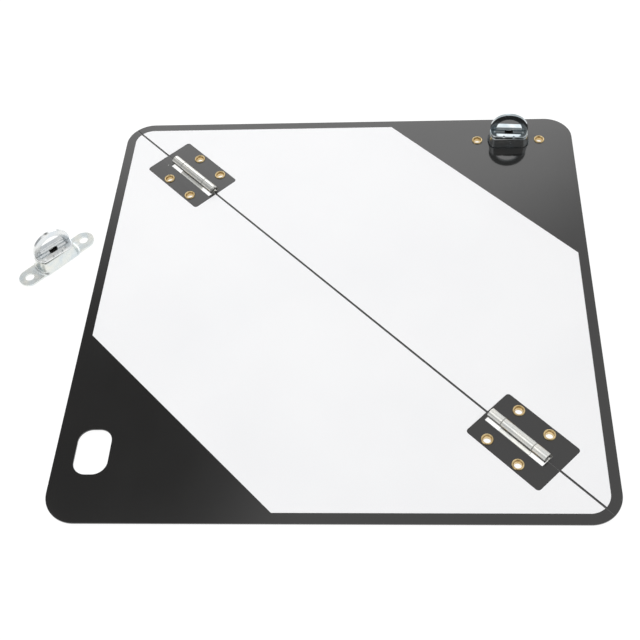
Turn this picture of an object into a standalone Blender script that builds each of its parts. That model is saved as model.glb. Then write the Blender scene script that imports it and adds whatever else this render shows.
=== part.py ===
"""A square vehicle placard that folds along its diagonal, with its two twist locks.

Two sheet-metal halves are joined by two hinges whose knuckles stand up through the fold line.
A twist lock is riveted under one corner. Folded shut, the other half's oblong hole drops over
it and a quarter turn of the head holds it. A second, loose lock is screwed to the vehicle and
holds the placard open in the same way.

Everything on the placard is drawn in the fold frame: X runs along the fold line, Y points at
the corner that carries the lock, and Z is up. A lock is drawn in its own frame: X along its
two ears, Z up from the underside of its base. Units are metres.
"""

import math

import bmesh
import bpy
from mathutils import Matrix, Vector

# The placard's two halves
PLATE_SIDE = 0.300
PLATE_CORNER_RADIUS = 0.0175
PANEL_THICKNESS = 0.001
FOLD_GAP = 0.0004
FIT = 0.00005  # clearance between faces that rest on each other

# The white film on each half: the black that shows is the panel itself
FILM_THICKNESS = 0.00015
BORDER = 0.006
FILM_FOLD_MARGIN = 0.0007
BLACK_CORNER_LEG = 0.126
PATCH_LENGTH = 0.0513
PATCH_HALF_WIDTH = 0.0172
PATCH_RADIUS = 0.002
PATCH_OFFSET = 0.1435

# Hinges, by their distance from the middle of the fold line
HINGE_OFFSET = 0.1404
HINGE_LENGTH = 0.040
LEAF_WIDTH = 0.020
LEAF_THICKNESS = 0.0012
LEAF_CORNER_RADIUS = 0.0025
MIDDLE_KNUCKLE = 0.0214
KNUCKLE_GAP = 0.0003
PIN_RADIUS = 0.0017
PIN_CLEARANCE = 0.0001
AXIS_ABOVE_FACE = 0.0022
NECK_START = 0.0042
LEAF_NOTCH = 0.0052
PANEL_NOTCH = 0.0044
PANEL_NOTCH_LENGTH = HINGE_LENGTH + 0.0005
PANEL_NOTCH_RADIUS = 0.0004
CURL_END = math.radians(-35 - 360)
PIN_END_GAP = 0.0002
PIN_EDGE = 0.0003
HINGE_RIVET_ALONG = 0.0108
HINGE_RIVET_ACROSS = 0.0127

# Eyelet rivets
RIVET_BORE_RADIUS = 0.0020
RIVET_BARREL_RADIUS = 0.0026
RIVET_HOLE_RADIUS = 0.0027
RIVET_FLANGE_RADIUS = 0.0033
RIVET_FLANGE_HEIGHT = 0.00075
RIVET_FLARE_HEIGHT = 0.0006

# Twist locks: heights are above the underside of the base
EAR_SPACING = 0.041
EAR_RADIUS = 0.0065
EAR_HOLE_RADIUS = 0.0028
BASE_THICKNESS = 0.0012
SPIGOT_FOOT = (0.0266, 0.0148)
SPIGOT_TOP = (0.0246, 0.0134)
SPIGOT_HEIGHT = 0.0090
SPIGOT_WALL = 0.0011
SPIGOT_EDGE = 0.0006
HEAD_SIZE = (0.0244, 0.0132)
HEAD_TURN = math.radians(-4)  # the head rests a little askew on its spigot
HEAD_GAP = 0.00015
HEAD_FLOOR = 0.0005
HEAD_HEIGHT = 0.0017
HEAD_EDGE = 0.0005
TROUGH_SIZE = (0.0200, 0.0032)
TROUGH_Y = -0.0019
NICK_SPACING = 0.0064
NICK_SIZE = (0.0012, 0.0012, 0.0007)
CORNER_SHARES = (0.29, 0.44)  # corner radii of the oblong outlines, as shares of their width

# The finger ring turns in a curl on the head; it leans forward against its stop
RING_WIDTH = 0.0244
RING_BAND = 0.0040
RING_THICKNESS = 0.0018
RING_HEIGHT = 0.0131
RING_LEAN = math.radians(4)
RING_AXIS_Y = 0.0005
RING_AXIS_ABOVE_HEAD = 0.00095
RING_BAR_RADIUS = 0.0007
CURL_BORE_RADIUS = 0.00077
CURL_OUTER_RADIUS = 0.0012
CURL_LENGTH = 0.0158

STEM_RADIUS = 0.0024
STEM_BORE_RADIUS = 0.0020
STEM_FLANGE_RADIUS = 0.0028
STEM_FLANGE_HEIGHT = 0.0005
HEAD_POCKET_RADIUS = 0.0029
WASHER_RADIUS = 0.0046
WASHER_THICKNESS = 0.0008
SPRING_RADIUS = 0.0034
SPRING_WIRE = 0.0007
SPRING_TURNS = 3

# The lock corner and the oblong hole mirror each other about the fold line
CATCH_CENTRE = (0.1078, 0.1297)
SLOT_SIZE = (0.0278, 0.0186)
SLOT_CORNER = 0.0076
SPIGOT_HOLE = (0.0272, 0.0154)

# Where the loose lock lies, from the middle of the placard
KEEPER_PLACE = (-0.1784, 0.0314)
KEEPER_ANGLE = math.radians(47.1)

# Worked out from the dimensions above
FOLD_ANGLE = -math.pi / 4
HALF_DIAGONAL = PLATE_SIDE / math.sqrt(2)
LEAF_BOTTOM = RIVET_FLARE_HEIGHT + FIT
LEAF_MIDDLE = LEAF_BOTTOM + LEAF_THICKNESS / 2
PANEL_BOTTOM = LEAF_BOTTOM + LEAF_THICKNESS + FIT
PANEL_TOP = PANEL_BOTTOM + PANEL_THICKNESS
FILM_BOTTOM = PANEL_TOP + FIT
FOLD_AXIS_HEIGHT = PANEL_TOP + AXIS_ABOVE_FACE
CURL_RADIUS = PIN_RADIUS + PIN_CLEARANCE + LEAF_THICKNESS / 2
ROOF_BOTTOM = SPIGOT_HEIGHT - SPIGOT_WALL
HEAD_BOTTOM = SPIGOT_HEIGHT + HEAD_GAP
HEAD_TOP = HEAD_BOTTOM + HEAD_HEIGHT
FLOOR_TOP = HEAD_BOTTOM + HEAD_FLOOR
RING_AXIS_HEIGHT = HEAD_TOP + RING_AXIS_ABOVE_HEAD
WASHER_BOTTOM = BASE_THICKNESS
KEEPER_REACH = EAR_SPACING / 2 * math.cos(KEEPER_ANGLE) + EAR_RADIUS - KEEPER_PLACE[0]
PLATE_CENTRE_X = (KEEPER_REACH - PLATE_SIDE / 2) / 2  # puts the whole kit's box over the origin

ARC_STEPS = 8
TURN_STEPS = 16


# Scene, materials and placing


def clear_scene():
    for obj in list(bpy.data.objects):
        bpy.data.objects.remove(obj)


def new_collection(name):
    made = bpy.data.collections.new(name)
    bpy.context.scene.collection.children.link(made)
    return made


def new_material(name, colour, roughness, metallic):
    made = bpy.data.materials.new(name)
    made.use_nodes = True
    shader = made.node_tree.nodes["Principled BSDF"]
    shader.inputs["Base Color"].default_value = (*colour, 1)
    shader.inputs["Roughness"].default_value = roughness
    shader.inputs["Metallic"].default_value = metallic
    return made


def new_frame(name, location, angle=0.0, parent=None):
    """An empty that places a group of parts."""
    frame = bpy.data.objects.new(name, None)
    frame.location = location
    frame.rotation_euler.z = angle
    frame.parent = parent
    PARTS.objects.link(frame)
    return frame


def place(obj, material, parent, location=(0, 0, 0)):
    obj.data.materials.append(material)
    obj.parent = parent
    obj.location = location
    return obj


def as_cutter(obj, parent):
    obj.parent = parent
    obj.hide_render = True
    obj.display_type = "WIRE"
    PARTS.objects.unlink(obj)
    CUTTERS.objects.link(obj)
    return obj


def boolean(obj, other, operation="DIFFERENCE"):
    modifier = obj.modifiers.new(f"{operation.lower()}_{other.name}", "BOOLEAN")
    modifier.operation = operation
    modifier.object = other


# Outlines, as lists of (x, y)


def arc(centre, radius, start, end, steps=ARC_STEPS):
    """Points round part of a circle, or of an ellipse if the radius is a pair."""
    across, up = radius if isinstance(radius, tuple) else (radius, radius)
    turn = [start + (end - start) * i / steps for i in range(steps + 1)]
    return [(centre[0] + across * math.cos(a), centre[1] + up * math.sin(a)) for a in turn]


def circle(centre, radius, steps=TURN_STEPS):
    return arc(centre, radius, 0, 2 * math.pi, steps)[:-1]


def rounded_rectangle(size, radius, steps=ARC_STEPS):
    across, up = radius if isinstance(radius, tuple) else (radius, radius)
    half_x = size[0] / 2 - across
    half_y = size[1] / 2 - up
    quarter = math.pi / 2
    corners = [(half_x, half_y), (-half_x, half_y), (-half_x, -half_y), (half_x, -half_y)]
    points = []
    for i, corner in enumerate(corners):
        points += arc(corner, radius, i * quarter, (i + 1) * quarter, steps)
    return points


def oblong(size, inset=0.0, steps=ARC_STEPS):
    length, width = size[0] - 2 * inset, size[1] - 2 * inset
    corner = (CORNER_SHARES[0] * width, CORNER_SHARES[1] * width)
    return rounded_rectangle((length, width), corner, steps)


def moved(outline, centre, angle=0.0):
    cos, sin = math.cos(angle), math.sin(angle)
    return [(centre[0] + x * cos - y * sin, centre[1] + x * sin + y * cos) for x, y in outline]


def flipped(outline):
    """Mirrored about the fold line."""
    return [(x, -y) for x, y in reversed(outline)]


def in_fold_frame(point):
    """A point of the square placard, from its middle, in the fold frame."""
    x, y = point
    return ((x - y) / math.sqrt(2), (x + y) / math.sqrt(2))


# Solids


def link(name, data):
    obj = bpy.data.objects.new(name, data)
    PARTS.objects.link(obj)
    return obj


def flat_solid(name, outlines, bottom, thickness):
    """A flat sheet: the first outline is its edge, and the others are holes."""
    curve = bpy.data.curves.new(name, "CURVE")
    curve.dimensions = "2D"
    curve.fill_mode = "BOTH"
    curve.extrude = thickness / 2
    for outline in outlines:
        spline = curve.splines.new("POLY")
        spline.points.add(len(outline) - 1)
        spline.use_cyclic_u = True
        for point, (x, y) in zip(spline.points, outline):
            point.co = (x, y, 0, 1)
    obj = link(name, curve)
    obj.location.z = bottom + thickness / 2
    return obj


def as_mesh(curve_obj, weld=0.000005):
    """A curve object made into a closed mesh in its parent's frame, so that it can be cut."""
    bpy.context.view_layer.update()
    graph = bpy.context.evaluated_depsgraph_get()
    mesh = bpy.data.meshes.new_from_object(curve_obj.evaluated_get(graph))
    mesh.transform(curve_obj.matrix_world)
    shape = bmesh.new()
    shape.from_mesh(mesh)
    bmesh.ops.remove_doubles(shape, verts=shape.verts, dist=weld)
    shape.to_mesh(mesh)
    shape.free()
    name = curve_obj.name
    bpy.data.objects.remove(curve_obj)
    return link(name, mesh)


def loft(name, sections):
    """A closed solid through level outlines of equal point counts: (height, outline) pairs."""
    shape = bmesh.new()
    rings = []
    for z, outline in sections:
        verts = [shape.verts.new((x, y, z)) for x, y in outline]
        edges = [shape.edges.new((verts[i - 1], verts[i])) for i in range(len(verts))]
        rings.append((verts, edges))
    for (_, lower), (_, upper) in zip(rings, rings[1:]):
        bmesh.ops.bridge_loops(shape, edges=lower + upper)
    shape.faces.new(rings[0][0])
    shape.faces.new(rings[-1][0])
    return from_bmesh(name, shape)


def block(name, low, high):
    """A box between two corners."""
    shape = bmesh.new()
    bmesh.ops.create_cube(shape, size=1)
    low, high = Vector(low), Vector(high)
    bmesh.ops.scale(shape, vec=high - low, verts=shape.verts)
    bmesh.ops.translate(shape, vec=(low + high) / 2, verts=shape.verts)
    return from_bmesh(name, shape)


def rod(name, radius, bottom, top, centre=(0, 0), steps=TURN_STEPS):
    shape = bmesh.new()
    bmesh.ops.create_cone(
        shape, cap_ends=True, segments=steps, radius1=radius, radius2=radius, depth=top - bottom
    )
    bmesh.ops.translate(shape, vec=(*centre, (bottom + top) / 2), verts=shape.verts)
    return from_bmesh(name, shape)


def from_bmesh(name, shape):
    bmesh.ops.recalc_face_normals(shape, faces=shape.faces)
    mesh = bpy.data.meshes.new(name)
    shape.to_mesh(mesh)
    shape.free()
    return link(name, mesh)


def turned(name, profile, steps=TURN_STEPS):
    """A ring turned about Z from a closed profile of (radius, height), down its outer side."""
    mesh = bpy.data.meshes.new(name)
    count = len(profile)
    edges = [(i, (i + 1) % count) for i in range(count)]
    mesh.from_pydata([(r, 0, z) for r, z in profile], edges, [])
    obj = link(name, mesh)
    screw = obj.modifiers.new("turn", "SCREW")
    screw.steps = steps
    screw.render_steps = steps
    screw.use_merge_vertices = True
    screw.merge_threshold = 0.000001
    screw.use_smooth_shade = True
    return obj


def flange(inner, outer, base, height, steps=4):
    """Half an oval from the inner edge to the outer one; a negative height hangs below."""
    middle, half = (inner + outer) / 2, (outer - inner) / 2
    angles = [math.pi - math.pi * i / steps for i in range(steps + 1)]
    return [(middle + half * math.cos(a), base + height * math.sin(a)) for a in angles]


def tube_profile(bore, barrel, flange_radius, top, top_height, bottom, bottom_height):
    """A tube whose ends are rolled outwards over the faces at heights top and bottom."""
    upper = flange(bore, flange_radius, top, top_height)
    lower = flange(bore, flange_radius, bottom, -bottom_height)
    return upper + [(barrel, top), (barrel, bottom)] + lower[::-1]


# The placard


def half_outline(inset, fold_margin, notches):
    """Edge of one half, inset from the placard's edge, with notches in the fold edge.

    A notch is (middle, length, depth, corner radius).
    """
    radius = PLATE_CORNER_RADIUS - inset
    side_centre = HALF_DIAGONAL - PLATE_CORNER_RADIUS * math.sqrt(2)
    start = math.asin(fold_margin / radius)
    eighth = math.pi / 4
    points = arc((side_centre, 0), radius, start, eighth)
    points += arc((0, side_centre), radius, eighth, 3 * eighth)
    points += arc((-side_centre, 0), radius, 3 * eighth, 4 * eighth - start)
    for middle, length, depth, corner in notches:
        left, right = middle - length / 2, middle + length / 2
        points.append((left, fold_margin))
        points += arc((left + corner, depth - corner), corner, 4 * eighth, 2 * eighth, 4)
        points += arc((right - corner, depth - corner), corner, 2 * eighth, 0, 4)
        points.append((right, fold_margin))
    return points


def panel_outline():
    notches = [
        (side * HINGE_OFFSET, PANEL_NOTCH_LENGTH, PANEL_NOTCH, PANEL_NOTCH_RADIUS)
        for side in (-1, 1)
    ]
    return half_outline(0, FOLD_GAP / 2, notches)


def film_outline():
    """The film stops at a line parallel to the fold, which leaves the corner black."""
    notches = [
        (side * PATCH_OFFSET, PATCH_LENGTH, PATCH_HALF_WIDTH, PATCH_RADIUS) for side in (-1, 1)
    ]
    edge = half_outline(BORDER, FOLD_GAP / 2 + FILM_FOLD_MARGIN, notches)
    black_line = HALF_DIAGONAL - BLACK_CORNER_LEG / math.sqrt(2)
    half_length = HALF_DIAGONAL - BORDER * math.sqrt(2) - black_line
    corner_points = [point for point in edge if point[1] > black_line]
    first = edge.index(corner_points[0])
    kept = [point for point in edge if point[1] <= black_line]
    kept[first:first] = [(half_length, black_line), (-half_length, black_line)]
    return kept


def hinge_rivet_places():
    """Centres of the four eyelets of one half, all on its own side of the fold line."""
    return [
        (side * HINGE_OFFSET + end * HINGE_RIVET_ALONG, HINGE_RIVET_ACROSS)
        for side in (-1, 1)
        for end in (-1, 1)
    ]


def catch_rivet_places():
    centre = in_fold_frame(CATCH_CENTRE)
    ends = [(-EAR_SPACING / 2, 0), (EAR_SPACING / 2, 0)]
    return moved(ends, centre, -FOLD_ANGLE)


def make_panels(placard):
    catch = in_fold_frame(CATCH_CENTRE)
    edge = panel_outline()
    hinge_holes = [circle(place_, RIVET_HOLE_RADIUS) for place_ in hinge_rivet_places()]
    lock_holes = [circle(place_, RIVET_HOLE_RADIUS) for place_ in catch_rivet_places()]
    spigot_hole = moved(oblong(SPIGOT_HOLE), catch, -FOLD_ANGLE)
    slot = moved(rounded_rectangle(SLOT_SIZE, SLOT_CORNER), catch, -FOLD_ANGLE)

    fixed = [edge, *hinge_holes, *lock_holes, spigot_hole]
    swing = [flipped(outline) for outline in [edge, *hinge_holes, slot]]
    film = film_outline()
    thickness = PANEL_THICKNESS
    for name, outlines, bottom, height, paint in (
        ("fixed_panel", fixed, PANEL_BOTTOM, thickness, BLACK_PAINT),
        ("swing_panel", swing, PANEL_BOTTOM, thickness, BLACK_PAINT),
        ("fixed_white_film", [film], FILM_BOTTOM, FILM_THICKNESS, WHITE_FILM),
        ("swing_white_film", [flipped(film)], FILM_BOTTOM, FILM_THICKNESS, WHITE_FILM),
    ):
        sheet = flat_solid(name, outlines, bottom, height)
        place(sheet, paint, placard, sheet.location)


def leaf_section():
    """Cross-section of a leaf on the +Y side, as (across, height): flat, raised neck, curl."""
    axis = FOLD_AXIS_HEIGHT
    neck_top = axis - CURL_RADIUS
    middle = [(LEAF_WIDTH + 0.001, LEAF_MIDDLE)]
    steps = 6
    for i in range(steps + 1):
        share = i / steps
        rise = (1 - math.cos(math.pi * share)) / 2
        middle.append((NECK_START * (1 - share), LEAF_MIDDLE + (neck_top - LEAF_MIDDLE) * rise))
    middle += arc((0, axis), CURL_RADIUS, -math.pi / 2, CURL_END, 20)[1:]
    return ribbon(middle, LEAF_THICKNESS)


def ribbon(middle, thickness):
    """Closed outline of a strip of even thickness along a line of points."""
    left, right = [], []
    for i, point in enumerate(middle):
        before = Vector(middle[max(i - 1, 0)])
        after = Vector(middle[min(i + 1, len(middle) - 1)])
        along = (after - before).normalized()
        normal = Vector((-along.y, along.x)) * thickness / 2
        left.append(tuple(Vector(point) + normal))
        right.append(tuple(Vector(point) - normal))
    return left + right[::-1]


def make_leaf(name, hinge, swings):
    """One leaf with its knuckles: the swing leaf has the middle one, the fixed leaf the outer two."""
    leaf = flat_solid(name, [leaf_section()], 0, HINGE_LENGTH + 0.001)
    leaf.location.z = 0
    leaf.rotation_euler = (math.pi / 2, 0, math.pi / 2)
    leaf = as_mesh(leaf)

    low, high = -0.002, FOLD_AXIS_HEIGHT + 0.006
    outline = rounded_rectangle((HINGE_LENGTH, 4 * LEAF_WIDTH), LEAF_CORNER_RADIUS, 4)
    trim = loft(f"{name}_trim", [(z, moved(outline, (0, -LEAF_WIDTH))) for z in (low, high)])
    boolean(leaf, as_cutter(trim, hinge), "INTERSECT")

    middle = MIDDLE_KNUCKLE / 2
    outer = middle + KNUCKLE_GAP
    spans = [(-outer, outer)]
    if swings:
        spans = [(-HINGE_LENGTH, -middle), (middle, HINGE_LENGTH)]
    for i, (left, right) in enumerate(spans):
        gap = block(f"{name}_notch_{i}", (left, -0.006, low), (right, LEAF_NOTCH, high))
        boolean(leaf, as_cutter(gap, hinge))
    for i, end in enumerate((-1, 1)):
        centre = (end * HINGE_RIVET_ALONG, HINGE_RIVET_ACROSS)
        hole = rod(f"{name}_hole_{i}", RIVET_HOLE_RADIUS, low, high, centre)
        boolean(leaf, as_cutter(hole, hinge))
    place(leaf, ZINC, hinge)


def make_hinge(side, offset, placard):
    fixed_side = new_frame(f"{side}_hinge_fixed_side", (offset, 0, 0), 0, placard)
    swing_side = new_frame(f"{side}_hinge_swing_side", (offset, 0, 0), math.pi, placard)
    make_leaf(f"{side}_hinge_fixed_leaf", fixed_side, swings=False)
    make_leaf(f"{side}_hinge_swing_leaf", swing_side, swings=True)

    half = HINGE_LENGTH / 2 - PIN_END_GAP
    pin = rod(f"{side}_hinge_pin", PIN_RADIUS, -half, half, steps=24)
    place(pin, ZINC, fixed_side, (0, 0, FOLD_AXIS_HEIGHT))
    pin.rotation_euler.y = math.pi / 2
    bevel = pin.modifiers.new("rounded_ends", "BEVEL")
    bevel.width = PIN_EDGE
    bevel.segments = 1


def make_rivets(placard):
    profile = tube_profile(
        RIVET_BORE_RADIUS,
        RIVET_BARREL_RADIUS,
        RIVET_FLANGE_RADIUS,
        PANEL_TOP + FIT,
        RIVET_FLANGE_HEIGHT,
        RIVET_FLARE_HEIGHT,
        RIVET_FLARE_HEIGHT,
    )
    fixed = hinge_rivet_places()
    swing = [(x, -y) for x, y in fixed]
    names = [f"{side}_hinge_{{}}_rivet_{i}" for side in ("left", "right") for i in (1, 2)]
    places = {name.format("fixed"): centre for name, centre in zip(names, fixed)}
    places |= {name.format("swing"): centre for name, centre in zip(names, swing)}
    places |= {f"catch_rivet_{i + 1}": centre for i, centre in enumerate(catch_rivet_places())}
    for name, centre in places.items():
        place(turned(name, profile), BRASS, placard, (*centre, 0))


# The twist locks


def make_base(name, frame):
    """A stamped plate with two ears, and a hollow oblong spigot drawn up from its middle."""
    ears = rounded_rectangle((EAR_SPACING + 2 * EAR_RADIUS, 2 * EAR_RADIUS), EAR_RADIUS - 0.00001)
    holes = [circle((end * EAR_SPACING / 2, 0), EAR_HOLE_RADIUS) for end in (-1, 1)]
    base = as_mesh(flat_solid(name, [ears, *holes], 0, BASE_THICKNESS))

    foot = oblong(SPIGOT_FOOT)
    top = oblong(SPIGOT_TOP)
    rim = oblong(SPIGOT_TOP, SPIGOT_EDGE)
    shoulder = SPIGOT_HEIGHT - SPIGOT_EDGE
    levels = [(BASE_THICKNESS / 3, foot), (shoulder, top), (SPIGOT_HEIGHT, rim)]
    spigot = as_cutter(loft(f"{name}_spigot", levels), frame)
    boolean(base, spigot, "UNION")

    foot_inside = oblong(SPIGOT_FOOT, SPIGOT_WALL)
    top_inside = oblong(SPIGOT_TOP, SPIGOT_WALL)
    hollow = loft(f"{name}_hollow", [(-0.001, foot_inside), (ROOF_BOTTOM, top_inside)])
    boolean(base, as_cutter(hollow, frame))
    bore = rod(f"{name}_bore", STEM_RADIUS + FIT * 2, ROOF_BOTTOM - 0.001, SPIGOT_HEIGHT + 0.001)
    boolean(base, as_cutter(bore, frame))
    place(base, ZINC, frame)


def level_rod(name, radius, length, centre, steps=TURN_STEPS):
    """A rod along X."""
    shape = bmesh.new()
    bmesh.ops.create_cone(
        shape, cap_ends=True, segments=steps, radius1=radius, radius2=radius, depth=length
    )
    quarter = Matrix.Rotation(math.pi / 2, 4, "Y")
    bmesh.ops.transform(shape, matrix=Matrix.Translation(centre) @ quarter, verts=shape.verts)
    return from_bmesh(name, shape)


def make_head(name, frame):
    """The turning head: a trough and a round pocket in its top, and a curl that holds the ring."""
    levels = [
        (HEAD_BOTTOM, oblong(HEAD_SIZE, HEAD_EDGE / 2)),
        (HEAD_BOTTOM + HEAD_EDGE / 2, oblong(HEAD_SIZE)),
        (HEAD_TOP - HEAD_EDGE, oblong(HEAD_SIZE)),
        (HEAD_TOP, oblong(HEAD_SIZE, HEAD_EDGE)),
    ]
    head = loft(name, levels)
    above = HEAD_TOP + 0.001
    outline = moved(rounded_rectangle(TROUGH_SIZE, TROUGH_SIZE[1] * 0.45, 4), (0, TROUGH_Y))
    trough = loft(f"{name}_trough", [(FLOOR_TOP, outline), (above, outline)])
    pocket = rod(f"{name}_pocket", HEAD_POCKET_RADIUS, FLOOR_TOP, above, steps=20)
    bore = rod(f"{name}_bore", STEM_RADIUS + 2 * FIT, HEAD_BOTTOM - 0.001, above)
    cutters = [trough, pocket, bore]
    width, reach, depth = NICK_SIZE
    for i, end in enumerate((-1, 1)):
        middle = end * NICK_SPACING / 2
        low = (middle - width / 2, -HEAD_SIZE[1], HEAD_TOP - depth)
        high = (middle + width / 2, -HEAD_SIZE[1] / 2 + reach, above)
        cutters.append(block(f"{name}_nick_{i}", low, high))
    for cutter in cutters:
        boolean(head, as_cutter(cutter, frame))

    axis = (0, RING_AXIS_Y, RING_AXIS_HEIGHT)
    curl = level_rod(f"{name}_curl", CURL_OUTER_RADIUS, CURL_LENGTH, axis)
    boolean(head, as_cutter(curl, frame), "UNION")
    eye = level_rod(f"{name}_eye", CURL_BORE_RADIUS, CURL_LENGTH + 0.002, axis)
    boolean(head, as_cutter(eye, frame))
    place(head, ZINC, frame)


def make_ring(name, frame):
    """A flat finger ring on a round bar; its origin is on the bar's axis."""
    half = RING_WIDTH / 2
    inner = half - RING_BAND
    middle = (0, RING_HEIGHT - half)
    band = [*arc(middle, half, 0, math.pi, 20), (-half, 0), (-inner, 0)]
    band += [*arc(middle, inner, math.pi, 0, 16), (inner, 0), (half, 0)]
    ring = flat_solid(name, [band], -RING_THICKNESS / 2, RING_THICKNESS)
    ring.rotation_euler.x = math.pi / 2
    ring = as_mesh(ring)

    holder = new_frame(f"{name}_frame", (0, RING_AXIS_Y, RING_AXIS_HEIGHT), 0, frame)
    holder.rotation_euler.x = RING_LEAN
    foot_radius = RING_THICKNESS / 2 - 0.00002
    foot_length = RING_BAND - 0.00002
    for i, end in enumerate((-1, 1)):
        centre = (end * (half - RING_BAND / 2), 0, 0)
        foot = level_rod(f"{name}_foot_{i}", foot_radius, foot_length, centre)
        boolean(ring, as_cutter(foot, holder), "UNION")
    bar = level_rod(f"{name}_bar", RING_BAR_RADIUS, 2 * inner + 0.002, (0, 0, 0))
    boolean(ring, as_cutter(bar, holder), "UNION")
    place(ring, ZINC, holder)


def make_stem(name, frame):
    """A hollow rivet through head and roof, rolled over the head's floor and under the washer."""
    profile = tube_profile(
        STEM_BORE_RADIUS,
        STEM_RADIUS,
        STEM_FLANGE_RADIUS,
        FLOOR_TOP + FIT,
        STEM_FLANGE_HEIGHT,
        WASHER_BOTTOM - FIT,
        STEM_FLANGE_HEIGHT,
    )
    place(turned(name, profile), ZINC, frame)


def make_washer(name, frame):
    inner, outer = STEM_RADIUS + 0.0001, WASHER_RADIUS
    bottom, top = WASHER_BOTTOM, WASHER_BOTTOM + WASHER_THICKNESS
    profile = [(inner, top), (outer, top), (outer, bottom), (inner, bottom)]
    place(turned(name, profile), ZINC, frame)


def make_spring(name, frame):
    """A round-wire coil between the washer and the underside of the spigot's roof."""
    low = WASHER_BOTTOM + WASHER_THICKNESS + SPRING_WIRE / 2 + FIT
    high = ROOF_BOTTOM - SPRING_WIRE / 2 - FIT
    per_turn = 12
    count = SPRING_TURNS * per_turn
    curve = bpy.data.curves.new(name, "CURVE")
    curve.dimensions = "3D"
    curve.bevel_depth = SPRING_WIRE / 2
    curve.bevel_resolution = 1
    curve.use_fill_caps = True
    spline = curve.splines.new("POLY")
    spline.points.add(count)
    for i, point in enumerate(spline.points):
        angle = 2 * math.pi * i / per_turn
        height = low + (high - low) * i / count
        radius = SPRING_RADIUS
        point.co = (radius * math.cos(angle), radius * math.sin(angle), height, 1)
    place(link(name, curve), ZINC, frame)


def make_lock(name, frame):
    make_base(f"{name}_base", frame)
    make_spring(f"{name}_spring", frame)
    make_washer(f"{name}_washer", frame)
    make_stem(f"{name}_stem", frame)
    head_frame = new_frame(f"{name}_head_frame", (0, 0, 0), HEAD_TURN, frame)
    make_head(f"{name}_head", head_frame)
    make_ring(f"{name}_ring", head_frame)


def shade(obj):
    """Round faces smooth, with their edges kept sharp."""
    if obj.type == "MESH":
        obj.data.shade_smooth()
        obj.data.set_sharp_from_angle(angle=math.radians(35))


clear_scene()
PARTS = new_collection("folding_placard")
CUTTERS = new_collection("cutters")
BLACK_PAINT = new_material("black_paint", (0.022, 0.022, 0.022), 0.28, 0.0)
WHITE_FILM = new_material("white_film", (0.88, 0.89, 0.91), 0.35, 0.0)
ZINC = new_material("zinc_plated_steel", (0.72, 0.76, 0.76), 0.25, 1.0)
BRASS = new_material("brass", (0.83, 0.62, 0.30), 0.28, 1.0)

centre_frame = new_frame("placard_frame", (PLATE_CENTRE_X, 0, 0), FOLD_ANGLE)
make_panels(centre_frame)
make_hinge("left", -HINGE_OFFSET, centre_frame)
make_hinge("right", HINGE_OFFSET, centre_frame)
make_rivets(centre_frame)

catch_place = (*in_fold_frame(CATCH_CENTRE), LEAF_BOTTOM)
make_lock("catch", new_frame("catch_frame", catch_place, -FOLD_ANGLE, centre_frame))
keeper_place = (PLATE_CENTRE_X + KEEPER_PLACE[0], KEEPER_PLACE[1], 0)
make_lock("keeper", new_frame("keeper_frame", keeper_place, KEEPER_ANGLE))

for part in PARTS.objects:
    shade(part)
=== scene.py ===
"""The looks of a square vehicle placard that folds along its diagonal, and of its two twist locks.

Each visible piece is rebuilt finer than its CAD node, in the node's own place and inside the CAD
model's box, and rides on the node's body. A piece of the placard is drawn in the fold frame: X runs
along the fold line, Y points at the corner that carries the lock, and Z is up. A lock is drawn in
its own frame: X along its two ears, Z up from the underside of its base. Units are metres.
"""

import math

import bmesh
import bpy
from mathutils import Matrix, Vector


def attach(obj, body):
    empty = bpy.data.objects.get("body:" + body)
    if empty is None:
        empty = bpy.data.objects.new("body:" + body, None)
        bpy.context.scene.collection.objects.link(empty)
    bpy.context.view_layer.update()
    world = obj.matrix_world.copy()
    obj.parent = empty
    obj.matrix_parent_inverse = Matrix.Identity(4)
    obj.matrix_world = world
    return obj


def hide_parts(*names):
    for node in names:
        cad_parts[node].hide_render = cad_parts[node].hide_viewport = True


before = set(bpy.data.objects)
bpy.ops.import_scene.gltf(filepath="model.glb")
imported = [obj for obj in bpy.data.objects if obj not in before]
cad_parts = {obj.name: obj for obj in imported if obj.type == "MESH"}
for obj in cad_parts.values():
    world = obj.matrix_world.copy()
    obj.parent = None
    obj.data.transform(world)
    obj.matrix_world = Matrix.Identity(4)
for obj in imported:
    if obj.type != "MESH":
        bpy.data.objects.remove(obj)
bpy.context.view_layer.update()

# The placard. The fold gap and the film's margin are smaller than in the CAD model.
PLATE_CENTRE_X = 0.0244274
PLATE_SIDE = 0.300
PLATE_CORNER_RADIUS = 0.0175
PANEL_THICKNESS = 0.001
PANEL_BOTTOM = 0.0019
PANEL_TOP = PANEL_BOTTOM + PANEL_THICKNESS
PANEL_EDGE = 0.00012
FOLD_GAP = 0.0003
FIT = 0.00005
FILM_THICKNESS = 0.00015
FILM_EDGE = 0.00003
FILM_BOTTOM = PANEL_TOP + FIT
BORDER = 0.006
FILM_FOLD_MARGIN = 0.0005
BLACK_CORNER_LEG = 0.126
PATCH_LENGTH = 0.0513
PATCH_HALF_WIDTH = 0.0172
PATCH_RADIUS = 0.002
PATCH_OFFSET = 0.1435
FOLD_ANGLE = -math.pi / 4
HALF_DIAGONAL = PLATE_SIDE / math.sqrt(2)

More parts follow.
